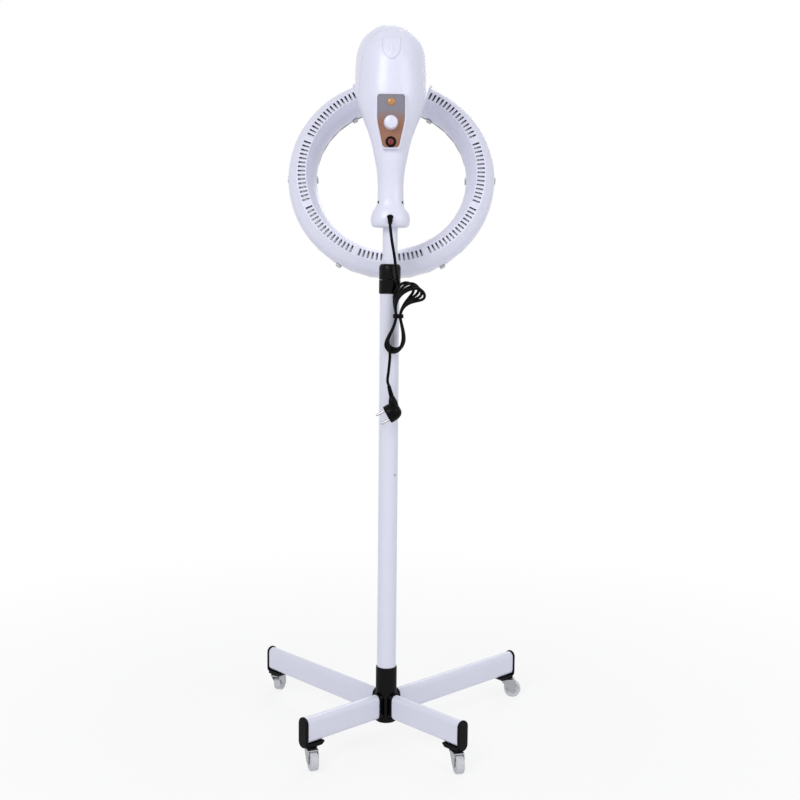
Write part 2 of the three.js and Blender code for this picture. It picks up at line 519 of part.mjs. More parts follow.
const hankTurns = CORD.loops + HANK.end;
const hankPath = [];
const hankSteps = Math.round(hankTurns * CORD.loopSteps);
for (let i = 0; i <= hankSteps; i += 1) hankPath.push(hankPoint((hankTurns * i) / hankSteps));
let least = Infinity;
hankPath.forEach((p, i) => hankPath.forEach((q, j) => {
  if (j - i > 6) least = Math.min(least, p.distanceTo(q) - CORD.d);
}));
console.log('least gap of the hank to itself', least.toFixed(2), 'mm');
add('cord_hank', sweep(hankPath, CORD.d / 2, CORD.hankSides), MATERIAL.rubber);

function tubeAlong(list, steps) {
  const curve = new THREE.CatmullRomCurve3(list);
  const path = [];
  for (let i = 0; i <= steps; i += 1) path.push(curve.getPointAt(i / steps));
  return { path, solid: sweep(path, CORD.d / 2, CORD.sides), length: curve.getLength() };
}

const along = (from, to, distance) => from.clone().add(to.clone().sub(from).setLength(distance));
const at = (x, y, z) => new THREE.Vector3(x, y, z);
const glandOut = at(0, -Math.sin(rad(GLAND_TILT)), -Math.cos(rad(GLAND_TILT)));
const start = glandTip.clone().addScaledVector(glandOut, GAP);
const hankIn = along(hankPath[0], hankPath[1], -GAP);
const hankInBack = along(hankPath[0], hankPath[1], -GAP - CORD.d * 1.2);
const lead = tubeAlong([start, start.clone().addScaledVector(glandOut, CORD.d), at(1.5, -63, 1012), at(4, -64, 994),
  at(8.5, -56, 968), at(12, -43, 942), hankInBack, hankIn], 16);
add('cord_upper', lead.solid, MATERIAL.rubber);
const lastPoint = hankPath[hankPath.length - 1];
const hankOut = along(lastPoint, hankPath[hankPath.length - 2], -GAP);
const hankOutAhead = along(lastPoint, hankPath[hankPath.length - 2], -GAP - CORD.d * 1.2);
const plugTop = at(0.6, -51, 720);
const plugEntry = at(0.25, 0, -0.97).normalize();
const tail = tubeAlong([hankOut, hankOutAhead, at(2, -56.5, 782), at(0, -54.5, 752),
  plugTop.clone().addScaledVector(plugEntry, -2 * CORD.d), plugTop.clone().addScaledVector(plugEntry, -GAP)], 14);
add('cord_tail', tail.solid, MATERIAL.rubber);
let hankLength = 0;
hankPath.forEach((p, i) => { if (i) hankLength += p.distanceTo(hankPath[i - 1]); });
console.log('cord length', (lead.length + hankLength + tail.length).toFixed(0), 'mm');

const layers = (hankTurns * HANK.pitch) / 2 + CORD.d / 2 + 0.8;
const band = ovalOutline(2 * (HANK.waist + CORD.d / 2 + 3.6), 2 * layers + 8);
const bandHole = ovalOutline(2 * (HANK.waist + CORD.d / 2 + 2.1), 2 * layers + 5);
band.holes.push(new THREE.Path(bandHole.getPoints(4)));
const tie = new THREE.ExtrudeGeometry(band, { depth: 7, bevelEnabled: false, curveSegments: 4 });
const tieMatrix = move(HANK.x, HANK.y - (HANK.end / 2) * HANK.pitch, HANK.z - 3.5);
add('cord_tie', toSolid(tie), MATERIAL.rubber, tieMatrix);

// The plug is an angled one: the cord comes in from above, and the round face with the pins looks to the side.
const PLUG = { centre: at(9, -51, 671), tilt: 30, r: 17.5, face: 13, pinR: 2.4, pinL: 19, pinHalf: 9.5 };
const along3 = (direction) => new THREE.Matrix4().makeRotationFromQuaternion(
  new THREE.Quaternion().setFromUnitVectors(at(0, 0, 1), direction));
const pinWay = at(-Math.cos(rad(PLUG.tilt)), 0, -Math.sin(rad(PLUG.tilt)));
const faceMatrix = move(PLUG.centre.x, PLUG.centre.y, PLUG.centre.z).multiply(along3(pinWay));
const neckMatrix = move(plugTop.x, plugTop.y, plugTop.z).multiply(along3(plugEntry));
const plugFace = turnSolid([[0, -15], [7, -14.5], [12.5, -11], [16.2, -4], [PLUG.r, 4], [PLUG.r, PLUG.face - 1],
  [PLUG.r - 1, PLUG.face], [0, PLUG.face]], 16);
const plugNeck = turnSolid([[0, 0], [4, 0], [5.4, 22], [8.5, 31], [9, 40], [0, 40]], 12);
add('plug_body', placed(plugFace, faceMatrix).add(placed(plugNeck, neckMatrix)), MATERIAL.rubber);
[-PLUG.pinHalf, PLUG.pinHalf].forEach((x, i) => {
  const tip = PLUG.face + PLUG.pinL;
  const pin = turnSolid([[0, PLUG.face + GAP], [PLUG.pinR, PLUG.face + GAP], [PLUG.pinR, tip - 2], [1.2, tip], [0, tip]], 10);
  add(`plug_pin_${i + 1}`, pin, MATERIAL.steel, faceMatrix.clone().multiply(move(x, 0, 0)));
});

// The frame: the floor under the middle of everything but the cord
const CORD_NODES = ['cord_upper', 'cord_hank', 'cord_tie', 'cord_tail', 'plug_body', 'plug_pin_1', 'plug_pin_2'];
const bounds = new THREE.Box3();
parts.children.forEach((mesh) => {
  if (!CORD_NODES.includes(mesh.name)) bounds.expandByObject(mesh);
});
const centre = bounds.getCenter(new THREE.Vector3());
console.log('frame shift', centre.x.toFixed(3), centre.y.toFixed(3), bounds.min.z.toFixed(3), 'mm');
parts.children.forEach((mesh) => mesh.geometry.translate(-centre.x, -centre.y, -bounds.min.z));
export default parts;
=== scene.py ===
# %% [markdown]
# # A hair color processor in Blender
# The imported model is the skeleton: it says where every piece is and what moves.
# Here each piece gets a smoother surface and its finish, and the picture gets its camera and light.
# Lengths below are in millimetres about the pole's axis, and `place` turns them into the frame's metres.

import bmesh
import bpy
import json
import math
from mathutils import Matrix, Vector


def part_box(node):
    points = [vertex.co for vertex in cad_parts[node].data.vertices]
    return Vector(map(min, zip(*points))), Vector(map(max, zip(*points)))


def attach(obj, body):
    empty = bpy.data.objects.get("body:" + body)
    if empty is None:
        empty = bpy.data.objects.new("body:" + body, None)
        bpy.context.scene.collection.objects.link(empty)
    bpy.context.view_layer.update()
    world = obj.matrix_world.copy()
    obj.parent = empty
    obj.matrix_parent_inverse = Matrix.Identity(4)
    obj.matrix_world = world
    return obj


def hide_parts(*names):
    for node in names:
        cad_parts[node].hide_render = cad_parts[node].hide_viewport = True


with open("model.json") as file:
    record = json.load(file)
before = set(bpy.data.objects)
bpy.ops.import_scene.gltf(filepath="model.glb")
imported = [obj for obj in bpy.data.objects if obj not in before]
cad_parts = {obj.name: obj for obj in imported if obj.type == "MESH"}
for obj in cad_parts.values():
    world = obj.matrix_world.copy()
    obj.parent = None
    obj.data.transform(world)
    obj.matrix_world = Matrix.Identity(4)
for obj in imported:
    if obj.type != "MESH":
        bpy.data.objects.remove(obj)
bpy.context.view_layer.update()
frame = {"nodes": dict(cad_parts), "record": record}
POLE_LOW, POLE_HIGH = (Vector(corner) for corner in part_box("lower_pole"))
POLE_AXIS = Vector(((POLE_LOW.x + POLE_HIGH.x) / 2, (POLE_LOW.y + POLE_HIGH.y) / 2, 0))
print("pole axis", POLE_AXIS, "nodes", len(frame["nodes"]))


def place(point):
    return POLE_AXIS + Vector(point) / 1000


# %% [markdown]
# ## The camera
# A camera fitted to the pole, the base and the ring stands 2.2 m behind the machine, at chest height.
# It looks slightly down and is rolled half a degree, so the pole leans in the picture as it does in the photo.

# %% Camera
FOCAL_PIXELS = 1138.75
IMAGE_PIXELS = 800
CAMERA_PLACE = (22, -2215.7, 919.6)
CAMERA_PITCH = 5.96
CAMERA_ROLL = 0.57

camera_data = bpy.data.cameras.new("camera")
camera_data.sensor_width = 36
camera_data.lens = 36 * FOCAL_PIXELS / IMAGE_PIXELS
camera = bpy.data.objects.new("camera", camera_data)
camera.location = place(CAMERA_PLACE)
aim = Matrix.Rotation(math.radians(90 - CAMERA_PITCH), 4, "X")
roll = Matrix.Rotation(math.radians(CAMERA_ROLL), 4, "Z")
camera.rotation_euler = (aim @ roll).to_euler()
bpy.context.scene.collection.objects.link(camera)
bpy.context.scene.camera = camera
print("lens", round(camera_data.lens, 2), "mm")

# %% [markdown]
# ## Finishes
# No real surface is one flat colour. Each finish has a fine grain that shifts its colour, its roughness
# and its height a little, all from one noise texture in the object's own coordinates.

# %% Finishes


def grained(name, color, rough, metal=0.0, grain=700.0, vary=0.05, bump=0.03, coat=0.0, shine=0.5):
    material = bpy.data.materials.new(name)
    material.use_nodes = True
    tree = material.node_tree
    shader = tree.nodes["Principled BSDF"]
    where = tree.nodes.new("ShaderNodeTexCoord")
    noise = tree.nodes.new("ShaderNodeTexNoise")
    noise.inputs["Scale"].default_value = grain
    noise.inputs["Detail"].default_value = 3
    tree.links.new(where.outputs["Object"], noise.inputs["Vector"])
    ramp = tree.nodes.new("ShaderNodeValToRGB")
    ramp.color_ramp.elements[0].position = 0.3
    ramp.color_ramp.elements[1].position = 0.7
    ramp.color_ramp.elements[0].color = [c * (1 - vary) for c in color] + [1]
    ramp.color_ramp.elements[1].color = [min(c * (1 + vary), 1) for c in color] + [1]
    tree.links.new(noise.outputs["Fac"], ramp.inputs["Fac"])
    tree.links.new(ramp.outputs["Color"], shader.inputs["Base Color"])
    spread = tree.nodes.new("ShaderNodeMapRange")
    spread.inputs["To Min"].default_value = rough * 0.85
    spread.inputs["To Max"].default_value = min(rough * 1.15, 1)
    tree.links.new(noise.outputs["Fac"], spread.inputs["Value"])
    tree.links.new(spread.outputs["Result"], shader.inputs["Roughness"])
    relief = tree.nodes.new("ShaderNodeBump")
    relief.inputs["Strength"].default_value = bump
    relief.inputs["Distance"].default_value = 0.0003
    tree.links.new(noise.outputs["Fac"], relief.inputs["Height"])
    tree.links.new(relief.outputs["Normal"], shader.inputs["Normal"])
    shader.inputs["Metallic"].default_value = metal
    shader.inputs["Specular IOR Level"].default_value = shine
    shader.inputs["Coat Weight"].default_value = coat
    shader.inputs["Coat Roughness"].default_value = 0.15
    return material


BLACK = (0.0015, 0.0015, 0.002)
FINISH = {
    "shell_plastic": grained("lavender white plastic", (0.77, 0.77, 0.9), 0.32, coat=0.1),
    "painted_tube": grained("white powder paint", (0.75, 0.755, 0.87), 0.3, grain=1200, coat=0.2),
    "black_plastic": grained("black moulded plastic", BLACK, 0.3, grain=1500, vary=0.2, coat=0.2, shine=0.02),
    "steel": grained("zinc plated steel", (0.4, 0.405, 0.42), 0.33, metal=1.0, grain=300),
    "nylon": grained("pale nylon", (0.6, 0.61, 0.64), 0.42, grain=500),
    "red_plastic": grained("red button plastic", (0.17, 0.006, 0.01), 0.25, coat=0.3),
    "amber_lens": grained("amber lamp lens", (0.48, 0.22, 0.05), 0.15, coat=0.6),
    "reflector": grained("brushed reflector", (0.66, 0.67, 0.69), 0.58, metal=1.0, grain=200),
    "quartz": grained("frosted quartz", (0.72, 0.60, 0.52), 0.2, coat=0.5),
    "ceramic": grained("heater ceramic", (0.78, 0.75, 0.70), 0.7),
    "cord_rubber": grained("black cord rubber", BLACK, 0.4, grain=2500, vary=0.25, coat=0.1, shine=0.03),
}
SLOT_OF = {entry["node"]: entry["material_slot"] for entry in frame["record"]["subparts"]}
print("finishes", sorted(FINISH))

# %% [markdown]
# ## The panel's film
# The plate under the knob fades from blue grey at the top to copper brown at the bottom.
# The height of each point, read from the object's coordinates, drives a colour ramp.

# %% Panel film
PANEL_TOP, PANEL_KNEE, PANEL_BOTTOM = 1267.7, 1220, 1167.4


def panel_film():
    material = grained("panel film", (0.3, 0.25, 0.25), 0.28, coat=0.4)
    tree = material.node_tree
    shader = tree.nodes["Principled BSDF"]
    where = tree.nodes.new("ShaderNodeTexCoord")
    split = tree.nodes.new("ShaderNodeSeparateXYZ")
    tree.links.new(where.outputs["Object"], split.inputs["Vector"])
    height = tree.nodes.new("ShaderNodeMapRange")
    height.inputs["From Min"].default_value = PANEL_BOTTOM / 1000
    height.inputs["From Max"].default_value = PANEL_TOP / 1000
    tree.links.new(split.outputs["Z"], height.inputs["Value"])
    ramp = tree.nodes.new("ShaderNodeValToRGB")
    ramp.color_ramp.elements[0].position = 0.48
    ramp.color_ramp.elements[0].color = (0.30, 0.125, 0.065, 1)
    ramp.color_ramp.elements[1].position = 0.72
    ramp.color_ramp.elements[1].color = (0.21, 0.20, 0.245, 1)
    tree.links.new(height.outputs["Result"], ramp.inputs["Fac"])
    tree.links.new(ramp.outputs["Color"], shader.inputs["Base Color"])
    return material


FINISH["panel_film"] = panel_film()
for name, node in frame["nodes"].items():
    node.data.materials.clear()
    node.data.materials.append(FINISH[SLOT_OF[name]])
    node.data.shade_smooth()
    node.data.set_sharp_from_angle(angle=math.radians(35))
print("panel film fades between", PANEL_BOTTOM, "and", PANEL_TOP, "mm")

# %% [markdown]
# ## Helpers for solid pieces
# Most pieces are turned, lofted or extruded. Each helper makes points in millimetres in a piece's own
# directions, a matrix moves them to the pole's axis, and `piece` hands the mesh to the body it rides on.

# %% Helpers


def piece(name, points, faces, body, nodes, slot, matrix=Matrix(), sharp=35, bevel=0.0):
    name = name.replace(" ", "_")
    mesh = bpy.data.meshes.new(name)
    mesh.from_pydata([place(matrix @ Vector(p)) for p in points], [], faces)
    work = bmesh.new()
    work.from_mesh(mesh)
    bmesh.ops.remove_doubles(work, verts=work.verts, dist=1e-6)
    bmesh.ops.recalc_face_normals(work, faces=work.faces)
    work.to_mesh(mesh)
    work.free()
    mesh.shade_smooth()
    mesh.set_sharp_from_angle(angle=math.radians(sharp))
    obj = bpy.data.objects.new(name, mesh)
    bpy.context.scene.collection.objects.link(obj)
    mesh.materials.append(FINISH[slot])
    if bevel:
        rounding = obj.modifiers.new("rounded edges", "BEVEL")
        rounding.width = bevel / 1000
        rounding.segments = 3
        rounding.limit_method = "ANGLE"
        rounding.angle_limit = math.radians(40)
        rounding.harden_normals = True
    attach(obj, body)
    if nodes:
        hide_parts(*nodes)
    return obj


def rings_to_faces(rings, count, closed_ends, looped=False):
    faces = []
    last = rings if looped else rings - 1
    for i in range(last):
        for j in range(count):
            here, above, n = i * count, ((i + 1) % rings) * count, (j + 1) % count
            faces.append((here + j, here + n, above + n, above + j))
    if closed_ends:
        faces.append(tuple(range(count))[::-1])
        faces.append(tuple((rings - 1) * count + j for j in range(count)))
    return faces


def turned(name, profile, body, nodes, slot, matrix=Matrix(), segments=96, sharp=35, ring=False):
    points = []
    for r, h in profile:
        r = max(r, 0.001)
        for j in range(segments):
            angle = 2 * math.pi * j / segments
            points.append((r * math.cos(angle), r * math.sin(angle), h))
    faces = rings_to_faces(len(profile), segments, not ring, ring)
    return piece(name, points, faces, body, nodes, slot, matrix, sharp)


def extruded(name, outline, low, high, body, nodes, slot, matrix, bevel):
    points = [(x, y, low) for x, y in outline] + [(x, y, high) for x, y in outline]
    faces = rings_to_faces(2, len(outline), True)
    return piece(name, points, faces, body, nodes, slot, matrix, bevel=bevel)


def oval(width, height, steps=16):
    r = width / 2
    straight = height / 2 - r
    points = []
    for side in (0, 1):
        for i in range(steps + 1):
            angle = math.pi * (side + i / steps)
            points.append((r * math.cos(angle), (1 - 2 * side) * straight + r * math.sin(angle)))
    return points


def rounded(corners, radius, steps=6):
    points = []
    count = len(corners)
    for i in range(count):
        here = Vector(corners[i])
        a = here + (Vector(corners[i - 1]) - here).normalized() * radius
        b = here + (Vector(corners[(i + 1) % count]) - here).normalized() * radius
        for k in range(steps + 1):
            t = k / steps
            points.append(tuple(a * (1 - t) ** 2 + here * 2 * t * (1 - t) + b * t * t))
    return points


def smooth_line(points, steps):
    """Points on a Catmull-Rom curve through the given ones, the ends included."""
    line = []
    last = len(points) - 1
    for i in range(last):
        p0, p1 = Vector(points[max(i - 1, 0)]), Vector(points[i])
        p2, p3 = Vector(points[i + 1]), Vector(points[min(i + 2, last)])
        for k in range(steps):
            t = k / steps
            line.append((p1 * 2 + (p2 - p0) * t + (p0 * 2 - p1 * 5 + p2 * 4 - p3) * t ** 2
                         + (p1 * 3 - p0 - p2 * 3 + p3) * t ** 3) / 2)
    line.append(Vector(points[last]))
    return line


UPRIGHT = Matrix.Rotation(math.radians(90), 4, "X")
GAP = 0.3  # room between neighbouring pieces
print("helpers ready")

# %% [markdown]
# ## The cord's route
# A black mains lead leaves the bulb under the head through a tapered sleeve, drops past the collar and is
# bound in a hank, with the plug hanging under it. One curve runs through the lead, the loops and the tail,
# so the cord is one length. The hank's loops are a formula: a figure of eight drawn in at the waist.
# Each entry of FOLDS is one half loop: its reach from the waist, and its lean in degrees.

# %% Cord route
CORD_DIAMETER = 5.6
LOOPS = 4
HANK_TURNS = LOOPS + 0.25
STEPS_PER_TURN = 72
HANK = {"x": 17, "y": -39, "z": 853, "waist": 3.7, "lobe": 33.2, "start": 0.198, "pitch": 7}
FOLDS = [(62, 14), (66, 6), (66, 17), (70, 9), (68, 27), (62, 5), (66, 35), (68, 10), (66, 43), (70, 8)]
GLAND_TILT = math.radians(55)
GLAND_TIP = Vector((0, -51, 1028))
GLAND_OUT = Vector((0, -math.sin(GLAND_TILT), -math.cos(GLAND_TILT)))
LEAD_VIA = [(1.5, -63, 1012), (4, -64, 994), (8.5, -56, 968), (12, -43, 942)]
TAIL_VIA = [(2, -56.5, 782), (0, -54.5, 752)]
PLUG_TOP = Vector((0.6, -51, 720))
PLUG_ENTRY = Vector((0.25, 0, -0.97)).normalized()


def hank_point(turns):
    halves = 2 * turns + HANK["start"]
    reach, lean = FOLDS[math.floor(halves + 0.5)]
    angle = math.pi * (halves + 0.5)
    c, s = math.cos(angle), math.sin(angle)
    u = c * (HANK["waist"] + (HANK["lobe"] - HANK["waist"]) * abs(s) ** 1.5)
    v = reach * s
    tilt = math.radians(lean * s * s * (3 - 2 * abs(s)))
    layer = (turns - LOOPS / 2) * HANK["pitch"]
    x = HANK["x"] + u * math.cos(tilt) + v * math.sin(tilt)
    return Vector((x, HANK["y"] - layer, HANK["z"] + v * math.cos(tilt) - u * math.sin(tilt)))


hank_steps = round(HANK_TURNS * STEPS_PER_TURN)
hank_line = [hank_point(HANK_TURNS * i / hank_steps) for i in range(hank_steps + 1)]
into = (hank_line[1] - hank_line[0]).normalized()
out_of = (hank_line[-1] - hank_line[-2]).normalized()
cord_start = GLAND_TIP + GLAND_OUT * GAP
lead = [cord_start, cord_start + GLAND_OUT * CORD_DIAMETER] + [Vector(p) for p in LEAD_VIA]
lead += [hank_line[0] - into * CORD_DIAMETER * 1.2, hank_line[0]]
tail = [hank_line[-1], hank_line[-1] + out_of * CORD_DIAMETER * 1.2] + [Vector(p) for p in TAIL_VIA]
tail += [PLUG_TOP - PLUG_ENTRY * 2 * CORD_DIAMETER, PLUG_TOP]
route = smooth_line(lead, 10)[:-1] + hank_line + smooth_line(tail, 10)[1:]

# %% [markdown]
# ## The cord itself
# A curve with a round section follows the route. It rides on the head and stands for the three cord solids.

# %% Cord
cord_curve = bpy.data.curves.new("mains_cord", "CURVE")
cord_curve.dimensions = "3D"
spline = cord_curve.splines.new("POLY")
spline.points.add(len(route) - 1)
for knot, p in zip(spline.points, route):
    knot.co = (*place(p), 1)
cord_curve.bevel_depth = CORD_DIAMETER / 2000
cord_curve.bevel_resolution = 5
cord_curve.use_fill_caps = True
cord_curve.materials.append(FINISH["cord_rubber"])
mains_cord = bpy.data.objects.new("mains_cord", cord_curve)
bpy.context.scene.collection.objects.link(mains_cord)
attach(mains_cord, "head")
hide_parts("cord_upper", "cord_hank", "cord_tail")
print("cord points", len(route))

# %% [markdown]
# ## Sleeve, plug and tie
# The sleeve and the plug's neck bend with the cord, so both are ribbed: one function makes the ribs.
# The plug's cup points sideways, where its two pins come out, and a flat tie binds the hank's waist.

# %% Sleeve, plug and tie
RIB_DEPTH = 0.7
PLUG_CENTRE, PLUG_R, PLUG_FACE, PLUG_TILT = Vector((9, -51, 671)), 17.5, 13, math.radians(30)
PIN_WAY = Vector((-math.cos(PLUG_TILT), 0, -math.sin(PLUG_TILT)))
TIE_HEIGHT = 7


def ribs(count, pitch, taper, groove):
    profile = []
    for i in range(count):
        z = 2 + i * pitch
        r = 4 + taper * z
        low, high, crest = (z + rise for rise in groove)
        profile += [(r, z), (r - RIB_DEPTH, low), (r - RIB_DEPTH, high), (r + 0.1, crest)]
    return profile


def pointing(where, way):
    return Matrix.Translation(where) @ Vector((0, 0, 1)).rotation_difference(way).to_matrix().to_4x4()


gland_matrix = Matrix.Translation(GLAND_TIP) @ Matrix.Rotation(-GLAND_TILT, 4, "X")
gland_profile = [(0, 0), (3.9, 0)] + ribs(6, 2.4, 1.2 / 17, (0.5, 1.2, 1.7))
gland_profile += [(5.2, 17), (6.8, 17.3), (6.8, 19.5), (4.9, 19.8), (4.9, 24), (0, 24)]
gland = turned("cord sleeve", gland_profile, "head", ["cord_gland"], "cord_rubber", gland_matrix, 32)

neck = [(0, 0), (3.8, 0)] + ribs(7, 2.8, 0.062, (0.6, 1.6, 2.2))
neck += [(5.5, 22), (7.2, 27), (8.5, 31), (9, 40), (0, 40)]
plug_neck = turned("plug neck", neck, "head", ["plug_body"], "cord_rubber", pointing(PLUG_TOP, PLUG_ENTRY), 40)
cup = smooth_line([(0.1, -15), (7, -14.5), (12.5, -11), (16.2, -4), (PLUG_R, 4)], 5)
cup = [tuple(p) for p in cup] + [(PLUG_R, 11.6), (17.1, 12.6), (16.2, PLUG_FACE)]
cup += [(13.5, PLUG_FACE), (13, 12), (0, 12)]
plug_block = turned("plug face", cup, "head", [], "cord_rubber", pointing(PLUG_CENTRE, PIN_WAY), 56)

strand = HANK["waist"] + CORD_DIAMETER / 2
tie_depth = HANK_TURNS * HANK["pitch"] + CORD_DIAMETER + 1.6
outer, inner = oval(2 * (strand + 3.6), tie_depth + 8), oval(2 * (strand + 2.1), tie_depth + 5)
tie_points = [(x, y, h) for h in (0, TIE_HEIGHT) for x, y in outer]
tie_points += [(x, y, h) for h in (TIE_HEIGHT, 0) for x, y in inner]
tie_middle = (HANK["x"], HANK["y"] - HANK["pitch"] / 8, HANK["z"] - TIE_HEIGHT / 2)
cord_tie = piece("cord tie", tie_points, rings_to_faces(4, len(outer), False, True), "head", ["cord_tie"],
                 "cord_rubber", Matrix.Translation(tie_middle), bevel=0.5)
print("cord, sleeve, tie and plug made")

# %% [markdown]
# ## The head's housing
# A bulb on the pole, a slim neck and a dome that leans forward over the ring: one lofted skin.
# Each station gives a height, a half width and the rear and front reach, and the rings between are smooth.
# The front is held back by the sloping face that the ring turns in front of, with a soft edge.

# %% Housing skin
STATIONS = [
    (1022, 30, -30, 30), (1025, 35.5, -35.5, 35), (1037, 37.8, -38, 37.5), (1052, 34, -34, 33),
    (1067, 26.2, -27.5, 26), (1098, 24.8, -26.5, 25.5), (1125, 26.4, -29.5, 26), (1147, 30.2, -33.5, 27),
    (1185, 38.5, -38, 32), (1215, 48.8, -40, 58), (1245, 60.2, -40.5, 92), (1275, 68.8, -40.5, 130),
    (1300, 71.5, -39, 162), (1340, 71.3, -34, 190), (1365, 68, -24, 184), (1385, 58.6, -8, 160),
    (1400, 43, 13, 128), (1410, 25, 33, 101), (1417, 7, 52, 76),
]
SPLIT_Y, WALL, POWER, NECK_FRONT = 4, 3, 2.2, 28
ORBIT_Y, ORBIT_Z, ORBIT_PITCH = 152.7, 1318, math.radians(42)
HOUSING_SIDES = 120
SOFTNESS = 3


def soft_least(a, b):
    gap = max(SOFTNESS - abs(a - b), 0) / SOFTNESS
    return min(a, b) - gap * gap * SOFTNESS / 4


def housing_ring(height, half_width, rear, front):
    middle, half_depth = (rear + front) / 2, (front - rear) / 2
    limit = max(NECK_FRONT, ORBIT_Y + (height - ORBIT_Z) * math.tan(ORBIT_PITCH))
    ring = []
    for j in range(HOUSING_SIDES):
        angle = 2 * math.pi * j / HOUSING_SIDES
        c, s = math.cos(angle), math.sin(angle)
        x = half_width * math.copysign(abs(c) ** (2 / POWER), c)
        y = middle + half_depth * math.copysign(abs(s) ** (2 / POWER), s)
        ring.append((x, soft_least(y, limit), height))
    return ring


stations = [tuple(q) for q in smooth_line([Vector(s) for s in STATIONS], 8)]
housing_points = [p for s in stations for p in housing_ring(*s)]
housing_faces = rings_to_faces(len(stations), HOUSING_SIDES, True)
print("housing rings", len(stations))

# %% [markdown]
# ## Two shells from one skin
# A plane across the head cuts the skin, and each half keeps its side of the plane.
# A Solidify modifier then gives the moulded wall.

# %% Housing shells


def housing_half(name, node, keep_rear):
    half = piece(name, housing_points, housing_faces, "head", [node], "shell_plastic", sharp=50)
    work = bmesh.new()
    work.from_mesh(half.data)
    plane_y = place((0, SPLIT_Y if keep_rear else SPLIT_Y + GAP, 0)).y
    bmesh.ops.bisect_plane(
        work, geom=work.verts[:] + work.edges[:] + work.faces[:], plane_co=(0, plane_y, 0),
        plane_no=(0, 1, 0), clear_outer=keep_rear, clear_inner=not keep_rear)
    work.to_mesh(half.data)
    work.free()
    wall = half.modifiers.new("moulded wall", "SOLIDIFY")
    wall.thickness = WALL / 1000
    wall.offset = -1
    return len(half.data.polygons)


print("rear shell faces", housing_half("rear shell", "rear_housing", True),
      "front shell faces", housing_half("front shell", "front_housing", False))

# %% [markdown]
# ## The shield plug
# High on the dome's back a shield-shaped plug closes the moulding, with a ridge down its middle.
# Its grid of points lies on the dome's own surface, lifted a little, and its border dips under the skin.
# A slightly larger grey sheet under it is painted shade: it shows as a thin dark line all round, standing for the
# shadow in the groove about the plug.

# %% Shield plug
SHIELD = [(1332.5, 1), (1334.5, 5), (1339, 10.2), (1345.5, 14.5), (1355, 16.8), (1371, 17.4), (1375, 16.2)]
ACROSS = [-1, -0.97, -0.9] + [k / 10 for k in range(-8, 9)] + [0.9, 0.97, 1]
RIDGE_LIFT, RIDGE_HALF, RIDGE_LOW, RIDGE_HIGH, RIDGE_FADE = 1.7, 4.6, 1341, 1373, 4
# The first lift here raises the grey sheet of painted shade, the groove's shadow round the plug, a little off the
# skin.
SHADE_SHEET_LIFT, EDGE_LIFT, FACE_LIFT, UNDER = 0.2, 1, 1.4, 1
SHEET_DEPTH = 2


def rear_surface(x, height):
    low, high = next((a, b) for a, b in zip(stations, stations[1:]) if height <= b[0])
    t = (height - low[0]) / (high[0] - low[0])
    half_width, rear, front = (low[k] + (high[k] - low[k]) * t for k in (1, 2, 3))
    c = (abs(x) / half_width) ** (POWER / 2)
    return (rear + front) / 2 - (front - rear) / 2 * (1 - c * c) ** (1 / POWER)


def ridge(x, height):
    fade = max(min(height - RIDGE_LOW, RIDGE_HIGH - height), 0) / RIDGE_FADE
    return RIDGE_LIFT * max(1 - (x / RIDGE_HALF) ** 4, 0) * min(fade, 1)


def grid_faces(wide, deep):
    """The faces of a front grid, a back grid behind it and the border between them."""
    count = wide * deep
    faces = [(i * wide + j, i * wide + j + 1, (i + 1) * wide + j + 1, (i + 1) * wide + j)
             for i in range(deep - 1) for j in range(wide - 1)]
    faces += [tuple(count + k for k in face[::-1]) for face in faces]
    border = list(range(wide)) + [i * wide + wide - 1 for i in range(1, deep)]
    border += [(deep - 1) * wide + j for j in range(wide - 2, -1, -1)]
    border += [i * wide for i in range(deep - 2, 0, -1)]
    return faces + [(a, b, count + b, count + a) for a, b in zip(border, border[1:] + border[:1])]


def shield_sheet(name, nodes, slot, grow, raised):
    rows = smooth_line(SHIELD, 5)
    fronts, backs = [], []
    for i, (height, half) in enumerate(rows):
        at_end = i in (0, len(rows) - 1)
        height += grow * (2 * i / (len(rows) - 1) - 1)
        for share in ACROSS:
            x = share * (half + grow)
            lift = SHADE_SHEET_LIFT
            if at_end or abs(share) == 1:
                lift = -UNDER
            elif raised:
                lift = (FACE_LIFT if abs(share) < 0.95 else EDGE_LIFT) + ridge(x, height)
            skin = rear_surface(x, height)
            fronts.append((x, skin - lift, height))
            backs.append((x, skin + SHEET_DEPTH, height))
    faces = grid_faces(len(ACROSS), len(rows))
    piece(name, fronts + backs, faces, "head", nodes, slot, sharp=50)
    return len(faces)


# The second sheet, in grey nylon, is painted shade: a dark outline standing for the groove's shadow round the
# plug.
print("shield faces", shield_sheet("shield plug", ["top_plug"], "shell_plastic", 0, True),
      "painted shade faces", shield_sheet("shield painted shade", [], "nylon", 0.8, False))

# %% [markdown]
# ## The neck's painted seam shadows
# Two small dark discs on the sides of the neck are painted shade: they stand for the shadow in the seam where the
# neck meets the flare.

# %% Neck seam shadows
NECK_SHADE_DISC = [(0, -1), (2.4, -1), (2.4, 0.3), (1.9, 0.6), (0, 0.3)]


def facing(where, outward):
    return Matrix.Translation(where) @ Vector(outward).to_track_quat("Z", "Y").to_matrix().to_4x4()


# Each black disc below is painted shade for the shadow in the neck's seam.
for side in (-1, 1):
    seam_shade_place = facing((side * 23.1, -14.6, 1069), (side * 0.86, -0.5, 0))
    turned(f"neck screw {side}", NECK_SHADE_DISC, "head", [], "black_plastic", seam_shade_place, 24)
print("neck screws made")

# %% [markdown]
# ## The control panel
# A raised rim holds the film plate. Both share one outline, grown or shrunk a little, and stand out
# along Y, towards the operator. FACE and RIM say how far.

# %% Panel
FACE, RIM, RIM_DEPTH, RIM_ROUND = 42, 44, 14, 1.2
PANEL_TOP_HALF, PANEL_LOW_HALF, PANEL_CORNER = 27.2, 16, 6


